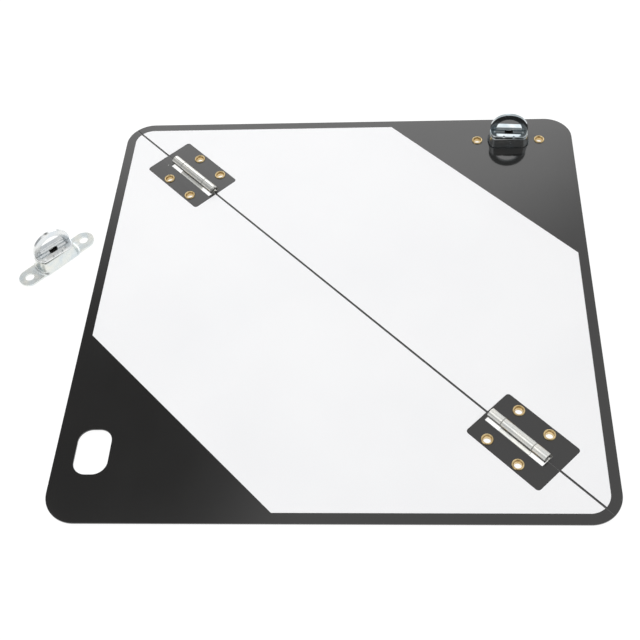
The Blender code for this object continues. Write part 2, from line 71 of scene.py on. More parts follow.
# Hinges
HINGE_OFFSET = 0.1404
HINGE_LENGTH = 0.040
LEAF_WIDTH = 0.020
LEAF_THICKNESS = 0.0012
LEAF_BOTTOM = 0.00065
LEAF_MIDDLE = LEAF_BOTTOM + LEAF_THICKNESS / 2
LEAF_CORNER_RADIUS = 0.0025
LEAF_EDGE = 0.00013
MIDDLE_KNUCKLE = 0.0214
KNUCKLE_GAP = 0.0003
PIN_RADIUS = 0.0017
PIN_CLEARANCE = 0.0001
PIN_END_GAP = 0.0002
PIN_EDGE = 0.0003
FOLD_AXIS_HEIGHT = PANEL_TOP + 0.0022
CURL_RADIUS = PIN_RADIUS + PIN_CLEARANCE + LEAF_THICKNESS / 2
CURL_END = math.radians(-395)
KNUCKLE_CUT_REACH = 0.006
NECK_START = 0.0042
LEAF_NOTCH = 0.0052
PANEL_NOTCH = 0.0044
PANEL_NOTCH_LENGTH = HINGE_LENGTH + 0.0005
PANEL_NOTCH_RADIUS = 0.0004
HINGE_RIVET_ALONG = 0.0108
HINGE_RIVET_ACROSS = 0.0127

# Eyelet rivets
RIVET_BORE_RADIUS = 0.0020
RIVET_BARREL_RADIUS = 0.0026
RIVET_HOLE_RADIUS = 0.0027
RIVET_FLANGE_RADIUS = 0.0035
RIVET_CREST_RADIUS = 0.0029
RIVET_FUNNEL_DEPTH = 0.0011
RIVET_FLANGE_HEIGHT = 0.00075
RIVET_FLARE_HEIGHT = 0.0006

# Twist locks: heights are above the underside of the base
EAR_SPACING = 0.041
EAR_RADIUS = 0.0065
EAR_HOLE_RADIUS = 0.0028
BASE_THICKNESS = 0.0012
BASE_EDGE = 0.0002
SPIGOT_FOOT = (0.0266, 0.0148)
SPIGOT_TOP = (0.0246, 0.0134)
SPIGOT_HEIGHT = 0.0090
SPIGOT_WALL = 0.0011
CATCH_FILLET = 0.0003
KEEPER_FILLET = 0.0018
SPIGOT_EDGE = 0.0003
ROOF_BOTTOM = SPIGOT_HEIGHT - SPIGOT_WALL
CORNER_SHARES = (0.29, 0.44)
HEAD_SIZE = (0.0244, 0.0132)
HEAD_TURN = math.radians(-4)
HEAD_BOTTOM = SPIGOT_HEIGHT + 0.00015
HEAD_TOP = HEAD_BOTTOM + 0.0017
FLOOR_TOP = HEAD_BOTTOM + 0.0005
HEAD_EDGE = 0.0006
HEAD_CUT_EDGE = 0.00025
TROUGH_SIZE = (0.0200, 0.0032)
TROUGH_BED = (0.0186, 0.0018)
TROUGH_SLOPE = 0.0007
TROUGH_Y = -0.0019
TROUGH_CORNER_SHARE = 0.45
NICK_SPACING = 0.0064
NICK_SIZE = (0.0012, 0.0012, 0.0007)
HEAD_POCKET_RADIUS = 0.0029
RING_WIDTH = 0.0244
RING_BAND = 0.0040
RING_THICKNESS = 0.0018
RING_EDGE = 0.00015
RING_FOOT_EDGE = 0.0003
RING_FOOT_INSET = 0.00002
RING_HEIGHT = 0.0131
RING_LEAN = math.radians(4)
RING_AXIS_Y = 0.0005
RING_AXIS_HEIGHT = HEAD_TOP + 0.00095
RING_BAR_RADIUS = 0.0007
CURL_BORE_RADIUS = 0.00077
CURL_OUTER_RADIUS = 0.0012
CURL_LENGTH = 0.0158
CURL_EDGE = 0.0001
STEM_RADIUS = 0.0024
STEM_HOLE_RADIUS = STEM_RADIUS + 2 * FIT
STEM_BORE_RADIUS = 0.0020
STEM_FLANGE_RADIUS = 0.0028
STEM_FLANGE_HEIGHT = 0.0005
WASHER_HOLE_RADIUS = STEM_RADIUS + 0.0001
WASHER_RADIUS = 0.0046
WASHER_THICKNESS = 0.0008
WASHER_EDGE = 0.00012
SPRING_RADIUS = 0.0034
SPRING_WIRE = 0.0007
SPRING_TURNS = 3

CATCH_CENTRE = (0.1078, 0.1297)
SLOT_SIZE = (0.0278, 0.0186)
SLOT_CORNER = 0.0076
SPIGOT_HOLE = (0.0272, 0.0154)
KEEPER_PLACE = (-0.1784, 0.0314)
KEEPER_ANGLE = math.radians(47.1)

# How shapes are drawn. A cutter stands out past what it cuts by the overcut.
QUARTER_STEPS = 16
TURN_STEPS = 48
WELD = 0.000002
OVERCUT = 0.001
BEVEL_ANGLE = math.radians(38)
SMOOTH_ANGLE = math.radians(32)

# The camera and the light
CAMERA_PLACE = (0.0677, -0.3827, 0.4814)
CAMERA_TARGET = (0.0362, -0.0201, 0.003)
CAMERA_ROLL = math.radians(-4.36)
CAMERA_LENS = 57.9
CAMERA_SHIFT = -0.06
SENSOR_WIDTH = 36
SOFTBOX_PLACE = (-0.65, 0.09, 1.68)
SOFTBOX_SIDE = 0.9
SOFTBOX_WATTS = 14.5
FLOOR_RADIUS = 3.0
FLOOR_DEPTH = 0.01

# The room: a direction, the cosines at which its patch begins and is full, and its strength
ROOM_GREY = 0.86
DARK_PLACES = [
    ((-0.30, 0.50, 0.82), 0.977, 0.999, 0.18),
    ((0, -0.75, 0.66), 0.72, 0.88, 0.3),
    ((-0.85, 0.05, 0.45), 0.86, 0.95, 0.5),
]
LAMPS = [((-0.05, 0.85, 0.5), 0.925, 0.97, 0.95), ((-0.40, 0, 0.92), 0.95, 0.985, 0.6)]


# Outlines, as lists of (x, y)


def arc(centre, radius, start, end, steps=QUARTER_STEPS):
    """Points round part of a circle, or of an ellipse if the radius is a pair."""
    across, up = radius if isinstance(radius, tuple) else (radius, radius)
    turn = [start + (end - start) * i / steps for i in range(steps + 1)]
    return [(centre[0] + across * math.cos(a), centre[1] + up * math.sin(a)) for a in turn]


def circle(centre, radius, steps=TURN_STEPS):
    return arc(centre, radius, 0, 2 * math.pi, steps)[:-1]


def rounded_rectangle(size, radius, steps=QUARTER_STEPS):
    across, up = radius if isinstance(radius, tuple) else (radius, radius)
    half_x = size[0] / 2 - across
    half_y = size[1] / 2 - up
    quarter = math.pi / 2
    corners = [(half_x, half_y), (-half_x, half_y), (-half_x, -half_y), (half_x, -half_y)]
    points = []
    for i, corner in enumerate(corners):
        points += arc(corner, radius, i * quarter, (i + 1) * quarter, steps)
    return points


def oblong(size, inset=0.0):
    length, width = size[0] - 2 * inset, size[1] - 2 * inset
    corner = (CORNER_SHARES[0] * width, CORNER_SHARES[1] * width)
    return rounded_rectangle((length, width), corner)


def moved(outline, centre, angle=0.0):
    cos, sin = math.cos(angle), math.sin(angle)
    return [(centre[0] + x * cos - y * sin, centre[1] + x * sin + y * cos) for x, y in outline]


def flipped(outline):
    """Mirrored about the fold line."""
    return [(x, -y) for x, y in reversed(outline)]


def in_fold_frame(point):
    """A point of the square placard, from its middle, in the fold frame."""
    x, y = point
    return ((x - y) / math.sqrt(2), (x + y) / math.sqrt(2))


# Solids


def link(name, data):
    obj = bpy.data.objects.new(name, data)
    bpy.context.scene.collection.objects.link(obj)
    return obj


def from_bmesh(name, shape):
    bmesh.ops.recalc_face_normals(shape, faces=shape.faces)
    mesh = bpy.data.meshes.new(name)
    shape.to_mesh(mesh)
    shape.free()
    return link(name, mesh)


def baked(obj):
    """The object with its modifiers and its own place worked into one plain mesh."""
    bpy.context.view_layer.update()
    graph = bpy.context.evaluated_depsgraph_get()
    mesh = bpy.data.meshes.new_from_object(obj.evaluated_get(graph))
    mesh.transform(obj.matrix_world)
    shape = bmesh.new()
    shape.from_mesh(mesh)
    bmesh.ops.remove_doubles(shape, verts=shape.verts, dist=WELD)
    shape.to_mesh(mesh)
    shape.free()
    name = obj.name
    bpy.data.objects.remove(obj)
    made = link(name, mesh)
    made.name = name
    return made


def flat_solid(name, outlines, bottom, thickness, edge=0.0):
    """A flat sheet with rounded edges: the first outline is its edge, and the others are holes."""
    curve = bpy.data.curves.new(name, "CURVE")
    curve.dimensions = "2D"
    curve.fill_mode = "BOTH"
    curve.extrude = thickness / 2 - edge
    curve.bevel_depth = edge
    curve.offset = -edge
    curve.bevel_resolution = 1
    for outline in outlines:
        spline = curve.splines.new("POLY")
        spline.points.add(len(outline) - 1)
        spline.use_cyclic_u = True
        for point, (x, y) in zip(spline.points, outline):
            point.co = (x, y, 0, 1)
    obj = link(name, curve)
    obj.location.z = bottom + thickness / 2
    return baked(obj)


def loft(name, sections):
    """A closed solid through level outlines of equal point counts: (height, outline) pairs."""
    shape = bmesh.new()
    rings = [[shape.verts.new((x, y, z)) for x, y in outline] for z, outline in sections]
    for lower, upper in zip(rings, rings[1:]):
        for i in range(len(lower)):
            shape.faces.new((lower[i - 1], lower[i], upper[i], upper[i - 1]))
    shape.faces.new(rings[0])
    shape.faces.new(rings[-1])
    return from_bmesh(name, shape)


def block(name, low, high):
    """A box between two corners."""
    outline = [(low[0], low[1]), (high[0], low[1]), (high[0], high[1]), (low[0], high[1])]
    return loft(name, [(low[2], outline), (high[2], outline)])


def rod(name, radius, bottom, top, centre=(0, 0)):
    outline = circle(centre, radius)
    return loft(name, [(bottom, outline), (top, outline)])


def level_rod(name, radius, length, centre=(0, 0, 0), edge=0.0, steps=32):
    """A rod along X, with its ends rounded off."""
    outline = circle((0, 0), radius, steps)
    sections = [(-length / 2 + edge, outline), (length / 2 - edge, outline)]
    if edge:
        rim = circle((0, 0), radius - edge, steps)
        sections = [(-length / 2, rim), *sections, (length / 2, rim)]
    made = loft(name, sections)
    made.data.transform(Matrix.Translation(centre) @ Matrix.Rotation(math.pi / 2, 4, "Y"))
    return made


def turned(name, profile, steps=TURN_STEPS):
    """A ring turned about Z from a closed profile of (radius, height)."""
    shape = bmesh.new()
    rings = []
    for step in range(steps):
        angle = 2 * math.pi * step / steps
        cos, sin = math.cos(angle), math.sin(angle)
        rings.append([shape.verts.new((r * cos, r * sin, z)) for r, z in profile])
    for before, after in zip(rings, rings[1:] + rings[:1]):
        for i in range(len(profile)):
            shape.faces.new((before[i - 1], before[i], after[i], after[i - 1]))
    return from_bmesh(name, shape)


def cut(obj, cutters, operation="DIFFERENCE"):
    """The object with each cutter taken away, joined or intersected in turn."""
    for i, cutter in enumerate(cutters):
        modifier = obj.modifiers.new(f"cut_{i}", "BOOLEAN")
        modifier.operation = operation
        modifier.solver = "EXACT"
        modifier.object = cutter
    made = baked(obj)
    for cutter in cutters:
        bpy.data.objects.remove(cutter)
    return made


def softened(obj, width, segments=2):
    """The object with its sharp edges rounded."""
    bevel = obj.modifiers.new("edges", "BEVEL")
    bevel.width = width
    bevel.segments = segments
    bevel.limit_method = "ANGLE"
    bevel.angle_limit = BEVEL_ANGLE
    bevel.use_clamp_overlap = True
    bevel.harden_normals = False
    return baked(obj)


def flange(inner, outer, base, height, steps=10):
    """Half an oval from the inner edge to the outer one; a negative height hangs below."""
    middle, half = (inner + outer) / 2, (outer - inner) / 2
    angles = [math.pi - math.pi * i / steps for i in range(steps + 1)]
    return [(middle + half * math.cos(a), base + height * math.sin(a)) for a in angles]


def tube_profile(bore, barrel, flange_radius, top, top_height, bottom, bottom_height):
    """A tube whose ends are rolled outwards over the faces at heights top and bottom."""
    upper = flange(bore, flange_radius, top, top_height)
    lower = flange(bore, flange_radius, bottom, -bottom_height)
    return upper + [(barrel, top), (barrel, bottom)] + lower[::-1]


# Materials


def new_material(name, **values):
    """A material, its node tree and its shader, with constants set on the shader's own sockets."""
    made = bpy.data.materials.new(name)
    made.use_nodes = True
    shader = made.node_tree.nodes["Principled BSDF"]
    for socket, value in values.items():
        shader.inputs[socket.replace("_", " ")].default_value = value
    return made, made.node_tree, shader


def texture(tree, kind, scale, stretch=(1, 1, 1), turn=0.0, **values):
    """A texture node that rides with its piece; a stretched one is turned to the piece's length."""
    place = tree.nodes.new("ShaderNodeTexCoord")
    mapping = tree.nodes.new("ShaderNodeMapping")
    mapping.vector_type = "TEXTURE"
    mapping.inputs["Rotation"].default_value = (0, 0, turn)
    mapping.inputs["Scale"].default_value = [1 / (scale * s) for s in stretch]
    made = tree.nodes.new(f"ShaderNodeTex{kind}")
    made.inputs["Scale"].default_value = 1
    for socket, value in values.items():
        made.inputs[socket].default_value = value
    tree.links.new(place.outputs["Object"], mapping.inputs["Vector"])
    tree.links.new(mapping.outputs["Vector"], made.inputs["Vector"])
    return made


def ramp(tree, source, stops):
    """Values turned into colours: (position, colour) stops."""
    made = tree.nodes.new("ShaderNodeValToRGB")
    elements = made.color_ramp.elements
    while len(elements) < len(stops):
        elements.new(0.5)
    for element, (position, colour) in zip(elements, stops):
        element.position = position
        element.color = (*colour, 1)
    tree.links.new(source, made.inputs["Fac"])
    return made.outputs["Color"]


def ranged(tree, source, low, high, first=0.3, last=0.7, kind="LINEAR"):
    """Values from first to last spread over low to high."""
    made = tree.nodes.new("ShaderNodeMapRange")
    made.interpolation_type = kind
    made.inputs["From Min"].default_value = first
    made.inputs["From Max"].default_value = last
    made.inputs["To Min"].default_value = low
    made.inputs["To Max"].default_value = high
    tree.links.new(source, made.inputs["Value"])
    return made.outputs["Result"]


def combined(tree, operation, first, second):
    made = tree.nodes.new("ShaderNodeMath")
    made.operation = operation
    tree.links.new(first, made.inputs[0])
    tree.links.new(second, made.inputs[1])
    return made.outputs[0]


def mixed(tree, factor, first, second):
    """A colour mixed from two, each a socket or a plain colour."""
    made = tree.nodes.new("ShaderNodeMix")
    made.data_type = "RGBA"
    tree.links.new(factor, made.inputs["Factor"])
    for name, value in (("A", first), ("B", second)):
        socket = [s for s in made.inputs if s.name == name and s.type == "RGBA"][0]
        if isinstance(value, tuple):
            socket.default_value = (*value, 1)
        else:
            tree.links.new(value, socket)
    return [s for s in made.outputs if s.type == "RGBA"][0]


def bump(tree, shader, layers):
    """Stacks height textures on the shader: (socket, depth in metres) pairs."""
    normal = None
    for source, depth in layers:
        made = tree.nodes.new("ShaderNodeBump")
        made.inputs["Strength"].default_value = 1
        made.inputs["Distance"].default_value = depth
        tree.links.new(source, made.inputs["Height"])
        if normal:
            tree.links.new(normal, made.inputs["Normal"])
        normal = made.outputs["Normal"]
    tree.links.new(normal, shader.inputs["Normal"])


def black_paint():
    """Glossy black paint with a faint orange peel, handling smears and a few pale specks."""
    made, tree, shader = new_material("black_paint", IOR=1.5, Coat_Weight=0.6)
    shader.inputs["Coat Roughness"].default_value = 0.03
    cloud = texture(tree, "Noise", 14, Detail=3).outputs["Fac"]
    tone = ramp(tree, cloud, [(0.3, (0.0100, 0.0097, 0.0094)), (0.7, (0.0139, 0.0136, 0.0132))])
    speck = texture(tree, "Voronoi", 170, Randomness=1)
    close = ranged(tree, speck.outputs["Distance"], 1, 0, 0.05, 0.09)
    chosen = tree.nodes.new("ShaderNodeSeparateColor")
    tree.links.new(speck.outputs["Color"], chosen.inputs["Color"])
    rare = ranged(tree, chosen.outputs["Red"], 0, 1, 0.988, 0.992)
    colour = mixed(tree, combined(tree, "MULTIPLY", close, rare), tone, (0.45, 0.45, 0.44))
    tree.links.new(colour, shader.inputs["Base Color"])
    smear = texture(tree, "Noise", 30, (1, 0.45, 1), Detail=5, Roughness=0.6).outputs["Fac"]
    tree.links.new(ranged(tree, smear, 0.06, 0.13), shader.inputs["Roughness"])
    peel = texture(tree, "Noise", 420, Detail=2).outputs["Fac"]
    bump(tree, shader, [(peel, 0.0000012)])
    return made


def white_film():
    """Smooth white reflective film with a fine beaded grain under a clear face."""
    made, tree, shader = new_material("white_film", IOR=1.5, Coat_Weight=0.2)
    shader.inputs["Coat Roughness"].default_value = 0.12
    cloud = texture(tree, "Noise", 11, Detail=3).outputs["Fac"]
    grain = texture(tree, "Noise", 2600, Detail=1).outputs["Fac"]
    tone = ramp(tree, cloud, [(0.35, (0.806, 0.808, 0.818)), (0.65, (0.830, 0.831, 0.838))])
    fine = ramp(tree, grain, [(0.35, (0.93, 0.93, 0.935)), (0.65, (1, 1, 1))])
    grained = tree.nodes.new("ShaderNodeMix")
    grained.data_type = "RGBA"
    grained.blend_type = "MULTIPLY"
    grained.inputs["Factor"].default_value = 0.5
    first, second = [s for s in grained.inputs if s.type == "RGBA"]
    tree.links.new(tone, first)
    tree.links.new(fine, second)
    result = [s for s in grained.outputs if s.type == "RGBA"][0]
    tree.links.new(result, shader.inputs["Base Color"])
    tree.links.new(ranged(tree, cloud, 0.30, 0.40), shader.inputs["Roughness"])
    bump(tree, shader, [(grain, 0.0000015), (cloud, 0.00001)])
    return made


def zinc(name, turn, cool, warm, roughness=(0.15, 0.26), dent=0.000012):
    """Bright zinc plating on stamped steel: cool patches, a faint warm bloom, fine draw lines."""
    made, tree, shader = new_material(name, Metallic=1.0)
    bloom = texture(tree, "Noise", 150, Detail=3, Roughness=0.5).outputs["Fac"]
    colour = ramp(tree, bloom, [(0.36, cool), (0.66, warm)])
    tree.links.new(colour, shader.inputs["Base Color"])
    haze = texture(tree, "Noise", 240, (1, 2.2, 1), turn, Detail=4, Roughness=0.6).outputs["Fac"]
    tree.links.new(ranged(tree, haze, *roughness), shader.inputs["Roughness"])
    lines = texture(tree, "Noise", 300, (0.15, 7, 7), turn, Detail=2).outputs["Fac"]
    dents = texture(tree, "Noise", 160, Detail=1).outputs["Fac"]
    bump(tree, shader, [(lines, 0.0000012), (dents, dent)])
    return made


def painted_shade_steel():
    """Near-black steel for the stems: painted shade, standing in for the deep shadow in each head's
    pocket and bore, with a tone and roughness that vary at random.
    """
    made, tree, shader = new_material("painted_shade_steel", Metallic=0.6)
    shade_mottle = texture(tree, "Noise", 600, Detail=3).outputs["Fac"]
    colour = ramp(tree, shade_mottle, [(0.35, (0.012, 0.012, 0.013)), (0.65, (0.03, 0.03, 0.032))])
    tree.links.new(colour, shader.inputs["Base Color"])
    tree.links.new(ranged(tree, shade_mottle, 0.35, 0.5), shader.inputs["Roughness"])
    return made


def brass():
    """Rolled brass: bright, with darker tarnish in patches."""
    made, tree, shader = new_material("brass", Metallic=1.0)
    cloud = texture(tree, "Noise", 420, Detail=4).outputs["Fac"]
    colour = ramp(tree, cloud, [(0.3, (0.50, 0.35, 0.15)), (0.65, (0.76, 0.60, 0.34))])
    tree.links.new(colour, shader.inputs["Base Color"])
    tree.links.new(ranged(tree, cloud, 0.30, 0.16), shader.inputs["Roughness"])
    dents = texture(tree, "Noise", 700, Detail=2).outputs["Fac"]
    bump(tree, shader, [(dents, 0.00001)])
    return made


BLACK_PAINT = black_paint()
WHITE_FILM = white_film()
LEAF_ZINC = zinc("leaf_zinc", FOLD_ANGLE, (0.71, 0.72, 0.70), (0.80, 0.79, 0.74), (0.2, 0.3), 0.000003)
# The catch's zinc and head zinc are darker copies of the keeper's zinc: painted shade for the catch,
# which sits in the black placard.
SHADED_CATCH_ZINC = zinc("catch_zinc_painted_shade", 0, (0.58, 0.64, 0.67), (0.72, 0.72, 0.71), (0.20, 0.28))
KEEPER_ZINC = zinc("keeper_zinc", KEEPER_ANGLE, (0.68, 0.74, 0.76), (0.83, 0.83, 0.77), (0.26, 0.38))
SHADED_CATCH_HEAD_ZINC = zinc("catch_head_zinc_painted_shade", 0, (0.44, 0.50, 0.53), (0.60, 0.63, 0.64), (0.10, 0.2))
KEEPER_HEAD_ZINC = zinc("keeper_head_zinc", KEEPER_ANGLE, (0.72, 0.76, 0.79), (0.84, 0.85, 0.84))
# Painted shade: the stems are drawn near-black to stand for the shadow deep in each head's pocket and
# bore.
PAINTED_SHADE_STEEL = painted_shade_steel()
BRASS = brass()


# Placing pieces on their CAD bodies


def shown(obj, place, body, node, material):
    """Puts a finished piece in its place, on its body, in place of its CAD node."""
    obj.name = f"{node}_piece"
    obj.data.name = obj.name
    obj.data.materials.clear()
    obj.data.materials.append(material)
    for face in obj.data.polygons:
        face.material_index = 0
    obj.data.transform(place)
    obj.data.shade_smooth()
    obj.data.set_sharp_from_angle(angle=SMOOTH_ANGLE)
    even = obj.modifiers.new("even_shading", "WEIGHTED_NORMAL")
    even.keep_sharp = True
    even.weight = 100
    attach(obj, body)
    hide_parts(node)
    return obj


PLACARD = Matrix.Translation((PLATE_CENTRE_X, 0, 0)) @ Matrix.Rotation(FOLD_ANGLE, 4, "Z")
CATCH = Matrix.Translation((PLATE_CENTRE_X + CATCH_CENTRE[0], CATCH_CENTRE[1], LEAF_BOTTOM))
KEEPER = Matrix.Translation((PLATE_CENTRE_X + KEEPER_PLACE[0], KEEPER_PLACE[1], 0))
KEEPER = KEEPER @ Matrix.Rotation(KEEPER_ANGLE, 4, "Z")


# The placard


def half_outline(inset, fold_margin, notches):
    """Edge of one half, inset from the placard's edge, with notches in the fold edge.

    A notch is (middle, length, depth, corner radius).
    """
    radius = PLATE_CORNER_RADIUS - inset
    side_centre = HALF_DIAGONAL - PLATE_CORNER_RADIUS * math.sqrt(2)
    start = math.asin(fold_margin / radius)
    eighth = math.pi / 4
    points = arc((side_centre, 0), radius, start, eighth)
    points += arc((0, side_centre), radius, eighth, 3 * eighth, 2 * QUARTER_STEPS)
    points += arc((-side_centre, 0), radius, 3 * eighth, 4 * eighth - start)
    for middle, length, depth, corner in notches:
        left, right = middle - length / 2, middle + length / 2
        points.append((left, fold_margin))
        points += arc((left + corner, depth - corner), corner, 4 * eighth, 2 * eighth, 6)
        points += arc((right - corner, depth - corner), corner, 2 * eighth, 0, 6)
        points.append((right, fold_margin))
    return points


def film_outline():
    """The film stops at a line parallel to the fold, which leaves the corner black."""
    notches = [
        (side * PATCH_OFFSET, PATCH_LENGTH, PATCH_HALF_WIDTH, PATCH_RADIUS) for side in (-1, 1)
    ]
    edge = half_outline(BORDER, FOLD_GAP / 2 + FILM_FOLD_MARGIN, notches)
    black_line = HALF_DIAGONAL - BLACK_CORNER_LEG / math.sqrt(2)
    half_length = HALF_DIAGONAL - BORDER * math.sqrt(2) - black_line
    first = next(i for i, point in enumerate(edge) if point[1] > black_line)
    kept = [point for point in edge if point[1] <= black_line]
    kept[first:first] = [(half_length, black_line), (-half_length, black_line)]
    return kept


def hinge_rivet_places():
    """Name and centre of the four eyelets of one half, all on its own side of the fold line."""
    return [
        (f"{side}_hinge_{{}}_rivet_{i}", (offset + end * HINGE_RIVET_ALONG, HINGE_RIVET_ACROSS))
        for side, offset in (("left", -HINGE_OFFSET), ("right", HINGE_OFFSET))
        for i, end in ((1, -1), (2, 1))
    ]


def catch_rivet_places():
    ends = [(-EAR_SPACING / 2, 0), (EAR_SPACING / 2, 0)]
    return moved(ends, in_fold_frame(CATCH_CENTRE), -FOLD_ANGLE)


def make_panels():
    catch = in_fold_frame(CATCH_CENTRE)
    notches = [
        (side * HINGE_OFFSET, PANEL_NOTCH_LENGTH, PANEL_NOTCH, PANEL_NOTCH_RADIUS)
        for side in (-1, 1)
    ]
    edge = half_outline(0, FOLD_GAP / 2, notches)
    hinge_holes = [circle(centre, RIVET_HOLE_RADIUS) for _, centre in hinge_rivet_places()]
    lock_holes = [circle(centre, RIVET_HOLE_RADIUS) for centre in catch_rivet_places()]
    spigot_hole = moved(oblong(SPIGOT_HOLE), catch, -FOLD_ANGLE)
    slot = moved(rounded_rectangle(SLOT_SIZE, SLOT_CORNER), catch, -FOLD_ANGLE)
    film = film_outline()

    fixed = [edge, *hinge_holes, *lock_holes, spigot_hole]
    swing = [flipped(outline) for outline in [edge, *hinge_holes, slot]]
    for half, panel, sheet in (("fixed", fixed, film), ("swing", swing, flipped(film))):
        steel = flat_solid("panel", panel, PANEL_BOTTOM, PANEL_THICKNESS, PANEL_EDGE)
        shown(steel, PLACARD, f"{half}_half", f"{half}_panel", BLACK_PAINT)
        skin = flat_solid("film", [sheet], FILM_BOTTOM, FILM_THICKNESS, FILM_EDGE)
        shown(skin, PLACARD, f"{half}_half", f"{half}_white_film", WHITE_FILM)


# Hinges


def leaf_section():
    """Cross-section of a leaf on the +Y side, as (across, height): flat, raised neck, curl."""
    neck_top = FOLD_AXIS_HEIGHT - CURL_RADIUS
    middle = [(LEAF_WIDTH + OVERCUT, LEAF_MIDDLE)]
    steps = 14
    for i in range(steps + 1):
        share = i / steps
        rise = (1 - math.cos(math.pi * share)) / 2
        middle.append((NECK_START * (1 - share), LEAF_MIDDLE + (neck_top - LEAF_MIDDLE) * rise))
    middle += arc((0, FOLD_AXIS_HEIGHT), CURL_RADIUS, -math.pi / 2, CURL_END, 48)[1:]
    return ribbon(middle, LEAF_THICKNESS)


def ribbon(middle, thickness):
    """Closed outline of a strip of even thickness along a line of points."""
    left, right = [], []
    for i, point in enumerate(middle):
        before = Vector(middle[max(i - 1, 0)])
        after = Vector(middle[min(i + 1, len(middle) - 1)])
        along = (after - before).normalized()
        normal = Vector((-along.y, along.x)) * thickness / 2
        left.append(tuple(Vector(point) + normal))
        right.append(tuple(Vector(point) - normal))
    return left + right[::-1]


def make_leaf(swings):
    """One leaf with its knuckles: the swing leaf has the middle one, the fixed leaf the outer two."""
    length = HINGE_LENGTH + OVERCUT
    leaf = flat_solid("leaf", [leaf_section()], -length / 2, length)
    leaf.data.transform(Matrix(((0, 0, 1, 0), (1, 0, 0, 0), (0, 1, 0, 0), (0, 0, 0, 1))))
    low, high = -2 * OVERCUT, FOLD_AXIS_HEIGHT + KNUCKLE_CUT_REACH
    outline = rounded_rectangle((HINGE_LENGTH, 4 * LEAF_WIDTH), LEAF_CORNER_RADIUS, 8)
    trim = loft("trim", [(z, moved(outline, (0, -LEAF_WIDTH))) for z in (low, high)])
    leaf = cut(leaf, [trim], "INTERSECT")
    middle = MIDDLE_KNUCKLE / 2
    outer = middle + KNUCKLE_GAP
    spans = [(-outer, outer)]
    if swings:
        spans = [(-HINGE_LENGTH, -middle), (middle, HINGE_LENGTH)]
    cutters = [block("gap", (a, -KNUCKLE_CUT_REACH, low), (b, LEAF_NOTCH, high)) for a, b in spans]
    for end in (-1, 1):
        centre = (end * HINGE_RIVET_ALONG, HINGE_RIVET_ACROSS)
        cutters.append(rod("hole", RIVET_HOLE_RADIUS, low, high, centre))
    leaf = cut(leaf, cutters)
    return softened(leaf, LEAF_EDGE)


def make_hinge(side, offset):
    middle = PLACARD @ Matrix.Translation((offset, 0, 0))
    turned_round = middle @ Matrix.Rotation(math.pi, 4, "Z")
    for half, place in (("fixed", middle), ("swing", turned_round)):
        leaf = make_leaf(swings=half == "swing")
        node = f"{side}_hinge_{half}_leaf"
        shown(leaf, place, f"{half}_half", node, LEAF_ZINC)
    pin = level_rod("pin", PIN_RADIUS, HINGE_LENGTH - 2 * PIN_END_GAP, edge=PIN_EDGE)
    place = middle @ Matrix.Translation((0, 0, FOLD_AXIS_HEIGHT))
    shown(pin, place, "fixed_half", f"{side}_hinge_pin", LEAF_ZINC)


def rivet_profile():
    """An eyelet: a bell-mouthed bore, a rounded flange on the face, and a flare behind."""
    quarter = [math.pi / 2 * i / 8 for i in range(9)]
    face = PANEL_TOP + FIT
    low = face - RIVET_FUNNEL_DEPTH
    mouth = RIVET_CREST_RADIUS - RIVET_BORE_RADIUS
    rise = RIVET_FUNNEL_DEPTH + RIVET_FLANGE_HEIGHT
    brim = RIVET_FLANGE_RADIUS - RIVET_CREST_RADIUS
    profile = [
        (RIVET_CREST_RADIUS - mouth * math.cos(a), low + rise * math.sin(a)) for a in quarter
    ]
    profile += [
        (RIVET_CREST_RADIUS + brim * math.sin(a), face + RIVET_FLANGE_HEIGHT * math.cos(a))
        for a in quarter[1:]
    ]
    profile += [(RIVET_BARREL_RADIUS, face), (RIVET_BARREL_RADIUS, RIVET_FLARE_HEIGHT)]
    flare = (RIVET_BORE_RADIUS, RIVET_FLANGE_RADIUS, RIVET_FLARE_HEIGHT, -RIVET_FLARE_HEIGHT)
    return profile + flange(*flare)[::-1]


def make_rivets():
    profile = rivet_profile()
    rows = []
    for name, (x, y) in hinge_rivet_places():
        rows.append(("fixed", name.format("fixed"), (x, y, 0)))
        rows.append(("swing", name.format("swing"), (x, -y, 0)))
    for i, (x, y) in enumerate(catch_rivet_places()):
        rows.append(("fixed", f"catch_rivet_{i + 1}", (x, y, 0)))
    for half, node, centre in rows:
        rivet = turned("rivet", profile)
        place = PLACARD @ Matrix.Translation(centre)
        shown(rivet, place, f"{half}_half", node, BRASS)


# Twist locks


def spigot_size(height):
    """Length and width of the spigot, which tapers from its foot to its top."""
    share = (height - BASE_THICKNESS) / (SPIGOT_HEIGHT - BASE_THICKNESS)
    return tuple(foot + (top - foot) * share for foot, top in zip(SPIGOT_FOOT, SPIGOT_TOP))


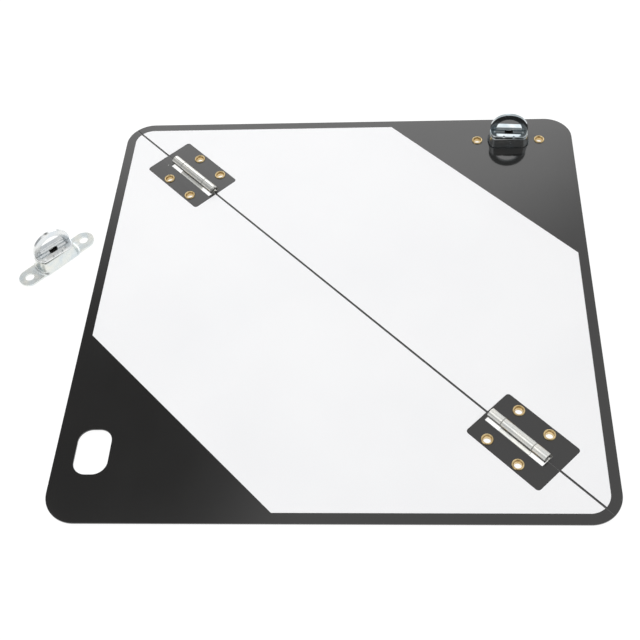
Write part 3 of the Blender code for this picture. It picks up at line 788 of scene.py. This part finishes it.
def make_base(fillet):
    """A stamped plate with two ears, and a hollow oblong spigot drawn up from its middle."""
    size = (EAR_SPACING + 2 * EAR_RADIUS, 2 * EAR_RADIUS)
    ears = rounded_rectangle(size, EAR_RADIUS - 0.00001)
    holes = [circle((end * EAR_SPACING / 2, 0), EAR_HOLE_RADIUS) for end in (-1, 1)]
    base = flat_solid("base", [ears, *holes], 0, BASE_THICKNESS)

    quarter = [math.pi / 2 * i / 6 for i in range(7)]
    spread = oblong((SPIGOT_FOOT[0] + 2 * fillet, SPIGOT_FOOT[1]))
    levels = [(BASE_THICKNESS / 3, spread)]
    for turn in quarter:
        height = BASE_THICKNESS + fillet * (1 - math.cos(turn))
        length, width = spigot_size(height)
        out = fillet * (1 - math.sin(turn))
        levels.append((height, oblong((length + 2 * out, width))))
    for turn in quarter:
        height = SPIGOT_HEIGHT - SPIGOT_EDGE * (1 - math.sin(turn))
        inset = SPIGOT_EDGE * (1 - math.cos(turn))
        levels.append((height, oblong(spigot_size(height), inset)))
    base = cut(base, [loft("spigot", levels)], "UNION")

    foot_inside = oblong(SPIGOT_FOOT, SPIGOT_WALL)
    top_inside = oblong(SPIGOT_TOP, SPIGOT_WALL)
    hollow = loft("hollow", [(-OVERCUT, foot_inside), (ROOF_BOTTOM, top_inside)])
    bore = rod("bore", STEM_HOLE_RADIUS, ROOF_BOTTOM - OVERCUT, SPIGOT_HEIGHT + OVERCUT)
    base = cut(base, [hollow, bore])
    return softened(base, BASE_EDGE)


def make_head():
    """The turning head: a trough and a round pocket in its top, and a curl that holds the ring."""
    edge = HEAD_EDGE
    levels = [
        (HEAD_BOTTOM, oblong(HEAD_SIZE, edge / 2)),
        (HEAD_BOTTOM + edge / 2, oblong(HEAD_SIZE)),
    ]
    for i in range(7):
        turn = math.pi / 2 * i / 6
        inset = edge * (1 - math.cos(turn))
        levels.append((HEAD_TOP - edge + edge * math.sin(turn), oblong(HEAD_SIZE, inset)))
    head = loft("head", levels)
    above = HEAD_TOP + OVERCUT
    bed, outline = [
        moved(rounded_rectangle(size, size[1] * TROUGH_CORNER_SHARE, 8), (0, TROUGH_Y))
        for size in (TROUGH_BED, TROUGH_SIZE)
    ]
    slope_top = FLOOR_TOP + TROUGH_SLOPE
    cutters = [
        loft("trough", [(FLOOR_TOP, bed), (slope_top, outline), (above, outline)]),
        rod("pocket", HEAD_POCKET_RADIUS, FLOOR_TOP, above),
        rod("bore", STEM_HOLE_RADIUS, HEAD_BOTTOM - OVERCUT, above),
    ]
    for end in (-1, 1):
        middle = end * NICK_SPACING / 2
        low = (middle - NICK_SIZE[0] / 2, -HEAD_SIZE[1], HEAD_TOP - NICK_SIZE[2])
        high = (middle + NICK_SIZE[0] / 2, -HEAD_SIZE[1] / 2 + NICK_SIZE[1], above)
        cutters.append(block("nick", low, high))
    head = cut(head, cutters)
    head = softened(head, HEAD_CUT_EDGE, 3)

    axis = (0, RING_AXIS_Y, RING_AXIS_HEIGHT)
    curl = level_rod("curl", CURL_OUTER_RADIUS, CURL_LENGTH, axis, CURL_EDGE)
    head = cut(head, [curl], "UNION")
    eye = level_rod("eye", CURL_BORE_RADIUS, CURL_LENGTH + 2 * OVERCUT, axis)
    return cut(head, [eye])


def make_ring():
    """A flat finger ring on a round bar; its origin is on the bar's axis."""
    half = RING_WIDTH / 2
    inner = half - RING_BAND
    middle = (0, RING_HEIGHT - half)
    band = [*arc(middle, half, 0, math.pi, 48), (-half, 0), (-inner, 0)]
    band += [*arc(middle, inner, math.pi, 0, 40), (inner, 0), (half, 0)]
    ring = flat_solid("ring", [band], -RING_THICKNESS / 2, RING_THICKNESS, RING_EDGE)
    ring.data.transform(Matrix.Rotation(math.pi / 2, 4, "X"))
    feet = []
    for end in (-1, 1):
        centre = (end * (half - RING_BAND / 2), 0, 0)
        radius = RING_THICKNESS / 2 - RING_FOOT_INSET
        feet.append(level_rod("foot", radius, RING_BAND - RING_FOOT_INSET, centre, RING_FOOT_EDGE))
    feet.append(level_rod("bar", RING_BAR_RADIUS, 2 * (inner + OVERCUT)))
    return cut(ring, feet, "UNION")


def make_stem():
    """A hollow rivet through head and roof, rolled over the head's floor and under the washer."""
    profile = tube_profile(
        STEM_BORE_RADIUS,
        STEM_RADIUS,
        STEM_FLANGE_RADIUS,
        FLOOR_TOP + FIT,
        STEM_FLANGE_HEIGHT,
        BASE_THICKNESS - FIT,
        STEM_FLANGE_HEIGHT,
    )
    return turned("stem", profile)


def make_washer():
    inner, outer = WASHER_HOLE_RADIUS, WASHER_RADIUS
    bottom, top = BASE_THICKNESS, BASE_THICKNESS + WASHER_THICKNESS
    profile = [(inner, top), (outer, top), (outer, bottom), (inner, bottom)]
    return softened(turned("washer", profile), WASHER_EDGE)


def make_spring():
    """A round-wire coil between the washer and the underside of the spigot's roof."""
    low = BASE_THICKNESS + WASHER_THICKNESS + SPRING_WIRE / 2 + FIT
    high = ROOF_BOTTOM - SPRING_WIRE / 2 - FIT
    per_turn = 32
    count = SPRING_TURNS * per_turn
    curve = bpy.data.curves.new("spring", "CURVE")
    curve.dimensions = "3D"
    curve.bevel_depth = SPRING_WIRE / 2
    curve.bevel_resolution = 3
    curve.use_fill_caps = True
    spline = curve.splines.new("POLY")
    spline.points.add(count)
    for i, point in enumerate(spline.points):
        angle = 2 * math.pi * i / per_turn
        height = low + (high - low) * i / count
        point.co = (SPRING_RADIUS * math.cos(angle), SPRING_RADIUS * math.sin(angle), height, 1)
    return baked(link("spring", curve))


def make_lock(name, frame_place, root, fillet, base_zinc, head_zinc):
    """Six pieces; the root body carries the base and the spring."""
    base = make_base(fillet)
    shown(base, frame_place, root, f"{name}_base", base_zinc)
    head_place = frame_place @ Matrix.Rotation(HEAD_TURN, 4, "Z")
    lean = Matrix.Translation((0, RING_AXIS_Y, RING_AXIS_HEIGHT))
    ring_place = head_place @ lean @ Matrix.Rotation(RING_LEAN, 4, "X")
    for kind, make, body, material, place in (
        ("spring", make_spring, root, LEAF_ZINC, frame_place),
        ("washer", make_washer, f"{name}_plunger", LEAF_ZINC, frame_place),
        # The stem is near-black: painted shade for the dark hole in the head's top.
        ("stem", make_stem, f"{name}_plunger", PAINTED_SHADE_STEEL, frame_place),
        ("head", make_head, f"{name}_head_turner", head_zinc, head_place),
        ("ring", make_ring, f"{name}_finger_ring", head_zinc, ring_place),
    ):
        shown(make(), place, body, f"{name}_{kind}", material)


make_panels()
make_hinge("left", -HINGE_OFFSET)
make_hinge("right", HINGE_OFFSET)
make_rivets()
# The catch gets the darker, painted-shade copies of the zinc.
make_lock("catch", CATCH, "fixed_half", CATCH_FILLET, SHADED_CATCH_ZINC, SHADED_CATCH_HEAD_ZINC)
make_lock("keeper", KEEPER, "keeper_lock", KEEPER_FILLET, KEEPER_ZINC, KEEPER_HEAD_ZINC)


# Floor, light and camera


def make_floor():
    outline = circle((0, 0), FLOOR_RADIUS, 2 * TURN_STEPS)
    floor = loft("floor", [(-FLOOR_DEPTH, outline), (0, outline)])
    made, tree, shader = new_material("floor", Roughness=0.6)
    paper = texture(tree, "Noise", 60, Detail=4).outputs["Fac"]
    colour = ramp(tree, paper, [(0.3, (0.055, 0.055, 0.055)), (0.7, (0.065, 0.065, 0.065))])
    tree.links.new(colour, shader.inputs["Base Color"])
    shader.inputs["Emission Color"].default_value = (1, 1, 1, 1)
    shader.inputs["Emission Strength"].default_value = 0.97
    floor.data.materials.append(made)


def towards(tree, source, direction, edge, core, low, high):
    """Values that pass from low to high as directions near the given one."""
    along = tree.nodes.new("ShaderNodeVectorMath")
    along.operation = "DOT_PRODUCT"
    along.inputs[1].default_value = Vector(direction).normalized()
    tree.links.new(source, along.inputs[0])
    return ranged(tree, along.outputs["Value"], low, high, edge, core, "SMOOTHSTEP")


def make_world():
    """A light grey room with three dark places and two soft lamps."""
    world = bpy.data.worlds.new("room")
    bpy.context.scene.world = world
    world.use_nodes = True
    tree = world.node_tree
    background = tree.nodes["Background"]
    look = tree.nodes.new("ShaderNodeTexCoord").outputs["Generated"]
    light = tree.nodes.new("ShaderNodeValue").outputs[0]
    light.default_value = ROOM_GREY
    for direction, edge, core, dark in DARK_PLACES:
        light = combined(tree, "MULTIPLY", light, towards(tree, look, direction, edge, core, 1, dark))
    for direction, edge, core, glow in LAMPS:
        light = combined(tree, "ADD", light, towards(tree, look, direction, edge, core, 0, glow))
    tree.links.new(light, background.inputs["Strength"])
    background.inputs["Color"].default_value = (1, 1, 1, 1)


def make_softbox():
    """A square lamp that looks at the origin. It lights the piece but leaves no reflection."""
    light = bpy.data.lights.new("top_softbox", "AREA")
    light.shape = "SQUARE"
    light.size = SOFTBOX_SIDE
    light.energy = SOFTBOX_WATTS
    softbox = link("top_softbox", light)
    softbox.location = SOFTBOX_PLACE
    softbox.rotation_euler = (-Vector(SOFTBOX_PLACE)).to_track_quat("-Z", "Y").to_euler()
    softbox.visible_glossy = False


def make_camera():
    data = bpy.data.cameras.new("camera")
    data.lens = CAMERA_LENS
    data.sensor_width = SENSOR_WIDTH
    data.shift_x = CAMERA_SHIFT
    data.clip_start = 0.01
    camera = link("camera", data)
    look = Vector(CAMERA_TARGET) - Vector(CAMERA_PLACE)
    level = look.to_track_quat("-Z", "Y").to_matrix()
    roll = Matrix.Rotation(CAMERA_ROLL, 3, "Z")
    camera.matrix_world = Matrix.Translation(CAMERA_PLACE) @ (level @ roll).to_4x4()
    bpy.context.scene.camera = camera


make_floor()
make_world()
make_softbox()
make_camera()
bpy.context.scene.view_settings.view_transform = "Standard"
